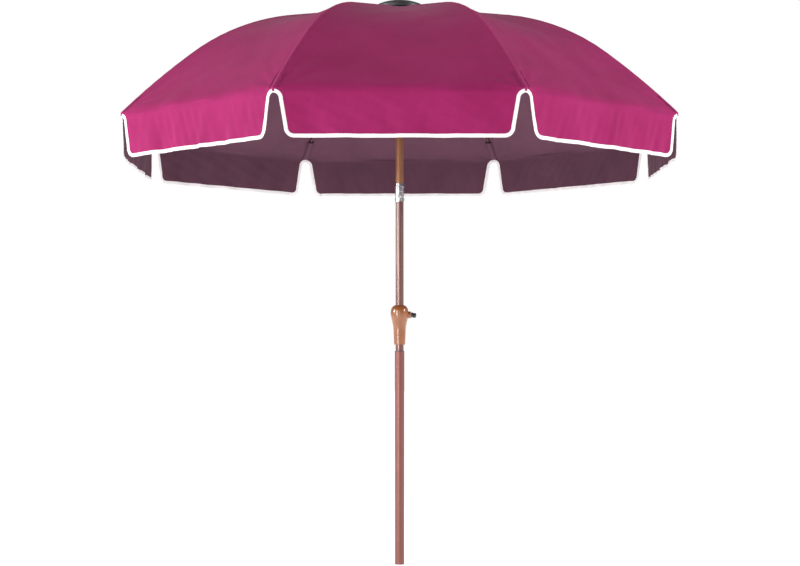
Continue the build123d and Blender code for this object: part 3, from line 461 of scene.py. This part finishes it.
# Ribs in a dark brown close to the shaded underside's colour: painted shade, so they blend into the shade
# inside the canopy; the struts keep the pale rib enamel.
RIB_PAINTED_SHADE = painted_metal(
    "rib_enamel_painted_shade", linear(78, 56, 54), linear(88, 64, 61), metallic=0.4, rough=0.4, coat=0.2
)
CHROME = bare_metal("polished_chrome", (0.72, 0.73, 0.75), rough=0.12, brushed=0.04)
STEEL = bare_metal("zinc_plate", (0.56, 0.57, 0.6), rough=0.28, brushed=0.2)
BRASS = bare_metal("sintered_bronze", (0.6, 0.42, 0.2), rough=0.4, brushed=0.2)
HOUSING = moulded_plastic(
    "housing_plastic", linear(144, 82, 36), linear(154, 89, 40), rough=0.3, grain=0.02, coat=0.8
)
BLACK = moulded_plastic("black_plastic", (0.02, 0.023, 0.026), (0.03, 0.033, 0.036), rough=0.42)
SLEEVE = moulded_plastic("sleeve_plastic", (0.035, 0.03, 0.03), (0.045, 0.04, 0.04), rough=0.5)


# --- Cloth surface ---------------------------------------------------------------------------------
EAVE_HALF = TIP_R * math.sin(HALF_GORE)
EAVE_RUN = 0.01
EAVE_SLOPE = math.atan(float(roof_z(TIP_R - EAVE_RUN) - roof_z(TIP_R)) / EAVE_RUN)


def panel_waves(gore):
    """Seeded waves that shape one gore's cloth."""
    rng = np.random.default_rng(PANEL_SEED + gore)
    return {
        "sag": rng.uniform(0.9, 1.12),
        "broad": ripples(rng, 0.42, 0.3, 5),
        "soft": ripples(rng, 0.17, 0.3, 6),
        "pull": ripples(rng, 0.075, 0.25, 4, 0.35),
        "pucker": ripples(rng, 0.034, 0.25, 3, 0.25),
        "drop_wide": ripples(rng, 0.21, 0.35, 4, 0.2),
        "drop_mid": ripples(rng, 0.095, 0.3, 4, 0.3),
        "drop_fine": ripples(rng, 0.045, 0.25, 3, 0.5),
        "flare": rng.uniform(-0.002, 0.004),
    }


PANELS = [panel_waves(gore) for gore in range(RIB_COUNT)]


def gore_axes(gore):
    """Outward and sideways unit vectors of the gore between ribs gore and gore + 1."""
    middle = HALF_GORE * 2 * (gore + 1)
    out = np.array([math.cos(middle), math.sin(middle), 0.0])
    return out, np.array([-math.sin(middle), math.cos(middle), 0.0])


def cloth_normal(r, depth):
    """Outward and upward parts of the smooth cloth's normal: the roof's slope, then level below it."""
    ahead = np.minimum(r + CLOTH_STEP, TIP_R)
    slope = -(roof_z(ahead) - roof_z(r - CLOTH_STEP)) / (ahead - r + CLOTH_STEP)
    lean = np.arctan(slope / math.cos(HALF_GORE))
    lean = lean + (math.pi / 2 - lean) * smooth(-0.004, 0.004, depth - (TIP_R - r))
    return np.sin(lean), np.cos(lean)


def roof_shift(wave, r, t, half):
    """How far the roof stands off its smooth shape: sag, waves, puckers and pull lines."""
    tau = np.clip(t / np.maximum(half, 1e-6), -1, 1)
    free = 1 - tau**2
    along = (r - CROWN_R) / (TIP_R - CROWN_R)
    off_rib = half - np.abs(t)
    sag = -SAG * wave["sag"] * np.sin(math.pi * np.clip(along, 0, 1) ** SAG_SHIFT) * free
    broad = BROAD_WAVE * wave["broad"](r, t) * free
    rim = smooth(0.35, 1.0, along)
    soft = SOFT_WAVE * wave["soft"](r, t) * free * (0.4 + 0.6 * rim)
    pucker = PUCKER * wave["pucker"](r, off_rib * 0.3) * np.exp(-off_rib / PUCKER_REACH)
    pucker = pucker * smooth(0, 0.012, off_rib)
    corner_r = np.hypot((TIP_R - r) * PULL_STRETCH, off_rib)
    corner_a = np.arctan2(off_rib, (TIP_R - r) * PULL_STRETCH + 1e-6)
    fan = np.sin(PULL_FOLDS * corner_a + wave["pull"](r, t) * 0.6)
    pull = PULL * fan * np.exp(-corner_r / PULL_REACH)
    pull = pull * smooth(0.0, 0.03, off_rib) * smooth(0.01, 0.06, corner_r)
    return sag + broad + soft + pucker + pull


def valance_shift(wave, t, depth, off_rib):
    """How far the valance stands off its plane: folds that deepen towards the hem."""
    drop = np.clip(depth / VALANCE, 0, 1)
    hang = smooth(0.0, 1.0, drop) * (1 - DROP_EARLY) + DROP_EARLY * drop
    wide = DROP_WIDE * wave["drop_wide"](t, depth)
    mid = DROP_MID * wave["drop_mid"](t, depth)
    fine = DROP_FINE * wave["drop_fine"](t, depth)
    folds = (wide + mid) * hang + fine * smooth(0.02, 0.3, drop) + wave["flare"] * drop
    return folds * (DROP_AT_RIB + (1 - DROP_AT_RIB) * smooth(0.0, 0.12, off_rib))


def eave_rounding(r, depth):
    """Shift of a softly folded eave from a sharp one: along the roof and down, in fold lengths."""
    beyond = np.where(depth > 0, depth, (r - TIP_R) / math.cos(EAVE_SLOPE))
    fold = np.clip(beyond / FOLD_LENGTH, -1, 1)
    turn = (fold + 1) / 2
    return (1 - turn) ** 2 - np.maximum(-fold, 0), turn**2 - np.maximum(fold, 0)


def cloth_points(gore, r, depth, t):
    """Outer face of a gore's cloth. r is the rib-line radius, depth the drop below the eave, t the
    distance sideways from the gore's middle, all arrays of one shape."""
    out, side = gore_axes(gore)
    half = r * math.sin(HALF_GORE)
    off_rib = half - np.abs(t)
    normal_out, normal_up = cloth_normal(r, depth)
    roof = roof_shift(PANELS[gore], r, t, half) * (1 - smooth(0.0, 0.012, depth))
    valance = valance_shift(PANELS[gore], t, depth, off_rib) * smooth(0.0, 0.02, depth)
    shift = roof + valance
    up_roof, down_drop = eave_rounding(r, depth)
    rounding = FOLD_LENGTH * smooth(0.0, 0.06, off_rib)
    reach = r * math.cos(HALF_GORE) + shift * normal_out - rounding * up_roof * math.cos(EAVE_SLOPE)
    height = roof_z(r) - depth + shift * normal_up + rounding * (up_roof * math.sin(EAVE_SLOPE) - down_drop)
    return reach[..., None] * out + t[..., None] * side + height[..., None] * UP


def notch_edge(depth):
    """Distance of the cloth's edge from the rib line at a depth below the eave."""
    d = np.asarray(depth, float)
    low = VALANCE - CORNER
    arch = NOTCH_HALF
    edge = np.where(
        d <= NOTCH_TOP,
        0.0,
        np.where(
            d < NOTCH_TOP + arch,
            np.sqrt(np.maximum(arch**2 - (NOTCH_TOP + arch - d) ** 2, 0)),
            arch + (NOTCH_LOW_HALF - arch) * (d - NOTCH_TOP - arch) / (low - NOTCH_TOP - arch),
        ),
    )
    corner = NOTCH_LOW_HALF + CORNER - np.sqrt(np.maximum(CORNER**2 - (d - low) ** 2, 0))
    return np.where(d > low, corner, edge)


def valance_depths():
    """Rows of the valance, closer where the notch curves."""
    top = np.array([0.001, 0.003, 0.006, 0.010, 0.014, NOTCH_TOP])
    arch = NOTCH_TOP + NOTCH_HALF * (1 - np.cos(np.linspace(0, math.pi / 2, 9)[1:]))
    low = VALANCE - CORNER
    straight = np.linspace(arch[-1], low, 10)[1:]
    corner = low + CORNER * np.sin(np.linspace(0, math.pi / 2, 10)[1:])
    return np.concatenate([top, arch, straight, corner])


def half_grid(gore, side_sign):
    """Grid of (r, depth, t) over one half of a gore, from its rib to its middle."""
    rows_r = CROWN_R + (TIP_R - CROWN_R) * np.linspace(0, 1, ROOF_ROWS) ** ROOF_CROWDING
    rows_d = valance_depths()
    r = np.concatenate([rows_r, np.full(len(rows_d), TIP_R)])
    d = np.concatenate([np.zeros(ROOF_ROWS), rows_d])
    share = np.concatenate([[0.0, 0.004], np.linspace(0.02, 0.98, COLUMNS - 4), [0.996, 1.0]])
    half = r * math.sin(HALF_GORE)
    edge = np.concatenate([np.zeros(ROOF_ROWS), notch_edge(rows_d)])
    x = edge[:, None] + share[None, :] * (half - edge)[:, None]
    t = side_sign * (half[:, None] - x)
    return np.broadcast_to(r[:, None], t.shape), np.broadcast_to(d[:, None], t.shape), t


def arc_length(r):
    """Length of the rib line from the crown to radius r."""
    fine = np.linspace(CROWN_R, TIP_R, CURVE_STEPS)
    z = roof_z(fine)
    run = np.concatenate([[0], np.cumsum(np.hypot(np.diff(fine), np.diff(z)))])
    return np.interp(r, fine, run)


def cloth_panel(name, gore, side_sign):
    """Half a gore's cloth as a closed shell; the inner face takes a darker, greyer copy of the cloth
    colour, painted shade for the canopy's underside.
    """
    r, d, t = half_grid(gore, side_sign)
    outer = cloth_points(gore, r, d, t)
    n = grid_normals(outer)
    if n[ROOF_ROWS // 2, COLUMNS // 2, 2] < 0:
        n = -n
    inner = outer - FABRIC * n
    uv = np.stack([t, arc_length(r) + d], axis=2)
    verts, faces, uvs, inside = shell(outer, inner, uv)
    obj = mesh_object(name, verts, faces, [FABRIC_OUT, FABRIC_IN_PAINTED_SHADE], uvs)
    index = [1 if i in inside else 0 for i in range(len(obj.data.polygons))]
    obj.data.polygons.foreach_set("material_index", index)
    return fix_normals(obj)


def edge_path():
    """Points along the bound edge as (x from the rib line, depth, inward x, inward depth)."""
    points = []
    arch, low = NOTCH_HALF, VALANCE - CORNER
    for a in np.linspace(0, math.pi / 2, 12):
        depth = NOTCH_TOP + arch * (1 - math.cos(a))
        points.append((arch * math.sin(a), depth, math.sin(a), -math.cos(a)))
    run, drop = NOTCH_LOW_HALF - arch, low - NOTCH_TOP - arch
    length = math.hypot(run, drop)
    for s in np.linspace(0, 1, 12)[1:-1]:
        points.append((arch + run * s, NOTCH_TOP + arch + drop * s, drop / length, -run / length))
    for a in np.linspace(0, math.pi / 2, 14):
        x = NOTCH_LOW_HALF + CORNER * (1 - math.cos(a))
        points.append((x, low + CORNER * math.sin(a), math.cos(a), -math.sin(a)))
    start = NOTCH_LOW_HALF + CORNER
    for s in np.linspace(0, 1, HEM_COLUMNS)[1:]:
        points.append((start + (EAVE_HALF - start) * s, VALANCE, 0.0, -1.0))
    return points


def binding(name, gore, side_sign):
    """White tape folded over the cloth's free edge: arch, notch side, corner and hem."""
    out, _ = gore_axes(gore)
    front = list(zip(BINDING_ACROSS, BINDING_LIFT))
    profile = front + [(a, -h) for a, h in reversed(front[1:])]
    sections, uvs = [], []
    along = 0.0
    last = None
    for x, depth, ix, idepth in edge_path():
        if last is not None:
            along += math.hypot(x - last[0], depth - last[1])
        last = (x, depth)
        px = np.array([x + ix * a for a, _ in profile])
        pd = np.array([depth + idepth * a for a, _ in profile])
        px = np.clip(px, 0.0, EAVE_HALF)
        pd = np.maximum(pd, BINDING_EAVE_GAP)
        t = side_sign * (EAVE_HALF - px)
        base = cloth_points(gore, np.full(len(px), TIP_R), pd, t)
        offset = np.array([h for _, h in profile]) * BINDING_THICK / 2 - FABRIC / 2
        sections.append(list(base + offset[:, None] * out))
        uvs.append([(a, along) for a, _ in profile])
    verts, faces, flat = band(sections, uvs)
    return fix_normals(mesh_object(name, verts, faces, [TAPE], flat, 55.0))


def ridge_seam(name, rib):
    """Felled seam along a rib, from under the crown cap to the eave and down to the notch."""
    radial, _ = rib_axes(rib)
    wobble = ripples(np.random.default_rng(SEAM_SEED + rib), 0.05, 0.3, 4, 0.1)
    left, right = rib, (rib - 1) % RIB_COUNT
    across = [SEAM_HALF * share for share in (-1, -0.92, -0.45, 0.0, 0.45, 0.92, 1)]
    height = [SEAM_EDGE, SEAM_SHOULDER, SEAM_FLANK, SEAM_HEIGHT, SEAM_FLANK, SEAM_SHOULDER, SEAM_EDGE]
    rows = [(r, 0.0) for r in SEAM_START + (TIP_R - SEAM_START) * np.linspace(0, 1, SEAM_ROWS)]
    rows += [(TIP_R, d) for d in (0.002, 0.005, 0.009, NOTCH_TOP - 0.004)]
    sections, uvs = [], []
    for r, depth in rows:
        half = r * math.sin(HALF_GORE)
        lean = math.pi / 2 if depth > 0 else rib_lean(r)
        normal = math.sin(lean) * radial + math.cos(lean) * UP
        ring = []
        for a, h in zip(across, height):
            gore, sign = (left, -1) if a >= 0 else (right, 1)
            t = sign * (half - abs(a) * min(1.0, r / SEAM_TAPER_R))
            base = cloth_points(gore, np.array([r]), np.array([depth]), np.array([t]))[0]
            ring.append(base + normal * (h + SEAM_WOBBLE * float(wobble(r, a))))
        under = [p - normal * SEAM_DEPTH for p in ring[::-1]]
        sections.append(ring + under)
        v = float(arc_length(r)) + depth
        uvs.append([(a, v) for a in across + across[::-1]])
    verts, faces, flat = band(sections, uvs)
    return fix_normals(mesh_object(name, verts, faces, [SEAM], flat, 50.0))


def corner_pocket(name, rib):
    """Sewn pocket under a canopy corner that the rib's end sits in."""
    radial, sideways = rib_axes(rib)
    shares = np.linspace(-1, 1, POCKET_COLUMNS)
    sections, uvs = [], []
    for k, r in enumerate(np.linspace(TIP_R - POCKET_LENGTH, TIP_R - POCKET_SHORT, POCKET_ROWS)):
        share = k / (POCKET_ROWS - 1)
        lean = rib_lean(r)
        normal = math.sin(lean) * radial + math.cos(lean) * UP
        deep = POCKET_DEPTH * (1 - POCKET_NARROWING * share**3)
        base = r * radial + float(roof_z(r)) * UP
        ring = []
        for a in shares:
            sink = POCKET_GAP + abs(a) * POCKET_HALF * POCKET_SIDE_SLOPE + deep * (1 - a * a) ** 0.7
            ring.append(base + sideways * a * POCKET_HALF - normal * sink)
        back = [p + normal * POCKET_CLOTH for p in ring[::-1]]
        sections.append(ring + back)
        uvs.append([(a * POCKET_UV_HALF, r) for a in (*shares, *shares[::-1])])
    verts, faces, flat = band(sections, uvs)
    # The pocket takes the inner cloth's darker colour, painted shade under the canopy.
    return fix_normals(mesh_object(name, verts, faces, [FABRIC_IN_PAINTED_SHADE], flat, 60.0))


# --- The canopy's pieces ---------------------------------------------------------------------------
for rib in range(RIB_COUNT):
    number = rib + 1
    seam = ridge_seam(f"ridge_seam_{number}", rib)
    pocket = corner_pocket(f"corner_pocket_{number}", rib)
    for extra in (seam, pocket):
        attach(extra, f"rib_{number}")
    for side_name, gore, sign in (("left", rib, -1), ("right", (rib - 1) % RIB_COUNT, 1)):
        body = f"canopy_{number}_{side_name}"
        panel = cloth_panel(f"cloth_{number}_{side_name}", gore, sign)
        tape = binding(f"binding_{number}_{side_name}", gore, sign)
        for cloth in (panel, tape):
            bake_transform(cloth)
        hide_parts(body)

# --- Finishes of the CAD nodes ---------------------------------------------------------------------
FINISH = {
    BRONZE: ["mid_pole"],
    BRONZE_LOW: ["lower_pole"],
    # upper pole and finial in the lighter copy of the bronze, painted light
    BRONZE_UPPER_PAINTED_LIGHT: ["upper_pole", "finial"],
    HOUSING: ["crank_housing_front", "crank_housing_rear"],
    CHROME: ["tilt_lower_knuckle", "tilt_upper_knuckle", "tilt_button"],
    STEEL: [
        "tilt_pin", "button_spring", "housing_screws", "brake_drum", "brake_spring", "crank_shaft",
        "knob_pin", "hub_pins", "pulley_pin",
    ],
    BLACK: ["hub", "runner", "crown_cap", "crank_arm", "crank_knob", "cord_pulley"],
    SLEEVE: ["foot_plug", "pole_sleeve", "cord_spool"],
    BRASS: ["shaft_bushes"],
    RIB_PAINT: [f"strut_{n + 1}" for n in range(RIB_COUNT)],
    # ribs in the darker enamel, painted shade inside the canopy
    RIB_PAINTED_SHADE: [f"rib_{n + 1}" for n in range(RIB_COUNT)],
}
for material, names in FINISH.items():
    for name in names:
        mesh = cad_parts[name].data
        mesh.materials.clear()
        mesh.materials.append(material)

# --- Floor, light and camera -----------------------------------------------------------------------
FLOOR_HALF = 60.0
FLOOR_DROP = 0.0004              # keeps the foot clear of the floor
FLOOR_GLOW = 0.98
SKY_SEEN = 1.0                   # background's brightness in view
SKY_CAST = 0.35                  # and as a light
CANOPY_AIM = (0, 0, 1.8)
CAMERA_PLACE = (0.0016, -7.21577, 0.7696)
CAMERA_TILT = 92.78
CAMERA_LENS = 81.12
CAMERA_SENSOR = 36.0

scene = bpy.context.scene
scene.view_settings.view_transform = "Standard"
scene.view_settings.look = "None"


def stage_floor():
    """Plain pale floor that glows a little, so that it shows as white as the background."""
    m = bpy.data.materials.new("floor_paint")
    m.use_nodes = True
    set_inputs(
        m.node_tree.nodes["Principled BSDF"], Base_Color=(0.9, 0.9, 0.9, 1.0), Roughness=0.9,
        Specular_IOR_Level=0.0, Emission_Color=(1, 1, 1, 1), Emission_Strength=FLOOR_GLOW,
    )
    mesh = bpy.data.meshes.new("floor")
    corners = [(x * FLOOR_HALF, y * FLOOR_HALF, 0) for x, y in ((-1, -1), (1, -1), (1, 1), (-1, 1))]
    mesh.from_pydata(corners, [], [(0, 1, 2, 3)])
    mesh.materials.append(m)
    floor = bpy.data.objects.new("floor", mesh)
    floor.location.z = -FLOOR_DROP
    scene.collection.objects.link(floor)


def studio_world(seen, cast):
    """White background of one brightness to the camera and another as a light."""
    world = bpy.data.worlds.new("studio")
    scene.world = world
    world.use_nodes = True
    tree = world.node_tree
    tree.nodes.clear()
    output = tree.nodes.new("ShaderNodeOutputWorld")
    mixer = tree.nodes.new("ShaderNodeMixShader")
    path = tree.nodes.new("ShaderNodeLightPath")
    for slot, strength in ((1, cast), (2, seen)):
        back = tree.nodes.new("ShaderNodeBackground")
        back.inputs["Color"].default_value = (1.0, 1.0, 1.0, 1.0)
        back.inputs["Strength"].default_value = strength
        tree.links.new(back.outputs[0], mixer.inputs[slot])
    tree.links.new(path.outputs["Is Camera Ray"], mixer.inputs[0])
    tree.links.new(mixer.outputs[0], output.inputs[0])


def softbox(name, place, target, width, height, power, colour=(1, 1, 1)):
    """Rectangular lamp that faces target and isn't seen itself."""
    data = bpy.data.lights.new(name, "AREA")
    data.shape = "RECTANGLE"
    data.size, data.size_y = width, height
    data.energy = power
    data.color = colour
    lamp = bpy.data.objects.new(name, data)
    scene.collection.objects.link(lamp)
    lamp.location = place
    aim = Vector(target) - Vector(place)
    lamp.rotation_euler = aim.to_track_quat("-Z", "Y").to_euler()
    lamp.visible_camera = False
    return lamp


stage_floor()
studio_world(SKY_SEEN, SKY_CAST)
softbox("key_left", (-5.7, -1.5, 2.5), CANOPY_AIM, width=1.6, height=2.0, power=230)
softbox("key_right", (5.6, -1.8, 3.3), CANOPY_AIM, width=1.6, height=2.0, power=165)
softbox("front", (-0.9, -8.5, 2.4), (0, 0, 1.6), width=1.2, height=2.4, power=34)
# Lights reflections only: the pale stripe down the pole.
strip = softbox(
    "strip", (-2.9, -4.2, 1.25), (0, 0, 1.25), width=0.9, height=3.2, power=165, colour=(1.0, 0.96, 0.89)
)
strip.visible_diffuse = False

camera = bpy.data.objects.new("camera", bpy.data.cameras.new("camera"))
scene.collection.objects.link(camera)
camera.data.sensor_width = CAMERA_SENSOR
camera.data.lens = CAMERA_LENS
camera.location = CAMERA_PLACE
camera.rotation_euler = (math.radians(CAMERA_TILT), 0.0, 0.0)
scene.camera = camera
